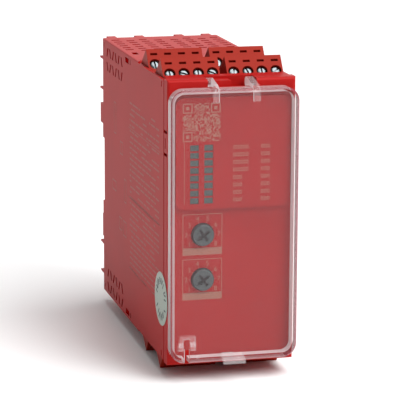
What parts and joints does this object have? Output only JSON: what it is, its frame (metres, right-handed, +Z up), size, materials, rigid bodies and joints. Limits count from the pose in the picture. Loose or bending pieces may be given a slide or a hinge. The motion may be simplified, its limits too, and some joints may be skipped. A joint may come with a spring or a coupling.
{
  "type": "safety relay",
  "caption": "Slim red safety relay for rail mounting, with a hinged clear cover, rotary selectors, status windows and pluggable screw terminals.",
  "frame": {"origin": "on the plane where the rail's flanges bear on the housing, at the rail's centre line and the middle of the housing's width", "axes": "+X to the right as seen from the front, +Y from the front to the rail behind, +Z up"},
  "size_m": [0.0451, 0.1241, 0.1096],
  "materials": {
    "housing_red": "fine satin texture",
    "terminal_red": "satin",
    "cover_clear": "clear, glossy",
    "selector_grey": "satin",
    "switch_black": "matte",
    "light_guide": "tinted, glossy",
    "led_body": "glossy",
    "circuit_board": "satin solder mask",
    "relay_case": "satin",
    "ferrite": "matte",
    "capacitor_can": "satin",
    "pin_brass": "tinned",
    "clamp_nickel": "nickel plated",
    "screw_zinc": "bright zinc",
    "spring_steel": "drawn wire",
    "foot_grey": "matte",
    "header_black": "matte",
    "label_paper": "printed foil"
  },
  "bodies": {
    "housing": {"housing_shell": "housing_red", "front_cap": "housing_red", "left_light_guide": "light_guide", "right_light_guide": "light_guide", "status_leds": "led_body", "front_board": "circuit_board", "upper_switch": "switch_black", "lower_switch": "switch_black", "top_terminal_board": "circuit_board", "bottom_terminal_board": "circuit_board", "main_board": "circuit_board", "logic_board": "circuit_board", "contact_relay_1": "relay_case", "contact_relay_2": "relay_case", "contact_relay_3": "relay_case", "contact_relay_4": "relay_case", "power_transformer": "ferrite", "buffer_capacitors": "capacitor_can", "header_pins": "pin_brass", "foot_spring": "spring_steel", "round_label": "label_paper", "header_top_front_left": "header_black", "header_top_front_right": "header_black", "header_top_rear_left": "header_black", "header_top_rear_right": "header_black", "header_bottom_front_left": "header_black", "header_bottom_front_right": "header_black", "header_bottom_rear_left": "header_black", "header_bottom_rear_right": "header_black"},
    "cover": {"clear_cover": "cover_clear"},
    "upper_selector": {"upper_selector": "selector_grey"},
    "lower_selector": {"lower_selector": "selector_grey"},
    "rail_foot": {"rail_foot": "foot_grey"},
    "plug_top_front_left": {"plug_top_front_left": "terminal_red", "clamps_top_front_left": "clamp_nickel", "screws_top_front_left": "screw_zinc"},
    "plug_top_front_right": {"plug_top_front_right": "terminal_red", "clamps_top_front_right": "clamp_nickel", "screws_top_front_right": "screw_zinc"},
    "plug_top_rear_left": {"plug_top_rear_left": "terminal_red", "clamps_top_rear_left": "clamp_nickel", "screws_top_rear_left": "screw_zinc"},
    "plug_top_rear_right": {"plug_top_rear_right": "terminal_red", "clamps_top_rear_right": "clamp_nickel", "screws_top_rear_right": "screw_zinc"},
    "plug_bottom_front_left": {"plug_bottom_front_left": "terminal_red", "clamps_bottom_front_left": "clamp_nickel", "screws_bottom_front_left": "screw_zinc"},
    "plug_bottom_front_right": {"plug_bottom_front_right": "terminal_red", "clamps_bottom_front_right": "clamp_nickel", "screws_bottom_front_right": "screw_zinc"},
    "plug_bottom_rear_left": {"plug_bottom_rear_left": "terminal_red", "clamps_bottom_rear_left": "clamp_nickel", "screws_bottom_rear_left": "screw_zinc"},
    "plug_bottom_rear_right": {"plug_bottom_rear_right": "terminal_red", "clamps_bottom_rear_right": "clamp_nickel", "screws_bottom_rear_right": "screw_zinc"}
  },
  "joints": [
    {"name": "cover_hinge", "type": "hinge", "parent": "housing", "child": "cover", "pos_m": [0, -0.1048, 0.0488], "axis": [-1, 0, 0], "range_deg": [0, 105]},
    {"name": "upper_selector_turn", "type": "hinge", "parent": "housing", "child": "upper_selector", "pos_m": [-0.0101, -0.109, -0.0025], "axis": [0, 1, 0], "range_deg": [0, 252]},
    {"name": "lower_selector_turn", "type": "hinge", "parent": "housing", "child": "lower_selector", "pos_m": [-0.0101, -0.109, -0.0182], "axis": [0, 1, 0], "range_deg": [0, 252]},
    {"name": "rail_foot_slide", "type": "slide", "parent": "housing", "child": "rail_foot", "axis": [0, 0, 1], "range_m": [-0.003, 0], "stiffness_N_per_m": 300, "springref_m": 0.002, "deforming": ["foot_spring"]},
    {"name": "plug_top_front_left_pull", "type": "slide", "parent": "housing", "child": "plug_top_front_left", "axis": [0, 0.6157, 0.788], "range_m": [0, 0.014]},
    {"name": "plug_top_front_right_pull", "type": "slide", "parent": "housing", "child": "plug_top_front_right", "axis": [0, 0.6157, 0.788], "range_m": [0, 0.014]},
    {"name": "plug_top_rear_left_pull", "type": "slide", "parent": "housing", "child": "plug_top_rear_left", "axis": [0, 0.6157, 0.788], "range_m": [0, 0.014]},
    {"name": "plug_top_rear_right_pull", "type": "slide", "parent": "housing", "child": "plug_top_rear_right", "axis": [0, 0.6157, 0.788], "range_m": [0, 0.014]},
    {"name": "plug_bottom_front_left_pull", "type": "slide", "parent": "housing", "child": "plug_bottom_front_left", "axis": [0, 0.6157, -0.788], "range_m": [0, 0.014]},
    {"name": "plug_bottom_front_right_pull", "type": "slide", "parent": "housing", "child": "plug_bottom_front_right", "axis": [0, 0.6157, -0.788], "range_m": [0, 0.014]},
    {"name": "plug_bottom_rear_left_pull", "type": "slide", "parent": "housing", "child": "plug_bottom_rear_left", "axis": [0, 0.6157, -0.788], "range_m": [0, 0.014]},
    {"name": "plug_bottom_rear_right_pull", "type": "slide", "parent": "housing", "child": "plug_bottom_rear_right", "axis": [0, 0.6157, -0.788], "range_m": [0, 0.014]}
  ]
}
